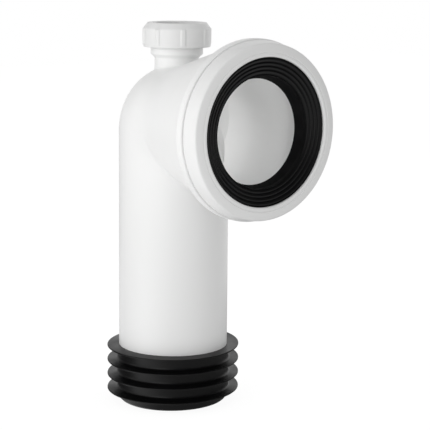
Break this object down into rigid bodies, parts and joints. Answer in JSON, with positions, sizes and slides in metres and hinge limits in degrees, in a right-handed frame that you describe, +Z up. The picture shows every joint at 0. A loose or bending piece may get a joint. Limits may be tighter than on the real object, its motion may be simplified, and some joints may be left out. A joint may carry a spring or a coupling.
{
  "type": "toilet pan connector",
  "caption": "Tight 90 degree soil pipe bend with a flared sealed pan socket, a finned rubber outlet seal and a small compression boss on top.",
  "frame": {"origin": "centre of the outlet seal's lower end, on the spigot's axis", "axes": "+Z up along the spigot, -Y out of the pan socket, +X to the right when facing +Y"},
  "size_m": [0.1408, 0.175, 0.313],
  "materials": {
    "white_moulding": "satin white polypropylene",
    "white_ring": "satin white polypropylene",
    "white_nut": "satin white polypropylene",
    "white_washer": "plain white polypropylene",
    "pan_rubber": "matt black rubber",
    "outlet_rubber": "matt black rubber",
    "packing_rubber": "matt black rubber"
  },
  "bodies": {
    "connector": {"bend_body": "white_moulding", "retaining_ring": "white_ring", "inlet_seal": "pan_rubber", "outlet_seal": "outlet_rubber", "compression_seal": "packing_rubber"},
    "washer": {"slip_washer": "white_washer"},
    "nut": {"compression_nut": "white_nut"}
  },
  "joints": [
    {"name": "nut_lift", "type": "slide", "parent": "connector", "child": "washer", "axis": [0, 0, 1], "range_m": [0, 0.0075]},
    {"name": "nut_turn", "type": "hinge", "parent": "washer", "child": "nut", "pos_m": [0, -0.0034, 0.303], "axis": [0, 0, 1], "range_deg": [0, 900]}
  ],
  "couplings": [
    {"joint": "nut_lift", "follows": "nut_turn", "m_per_rad": 0.000477}
  ]
}
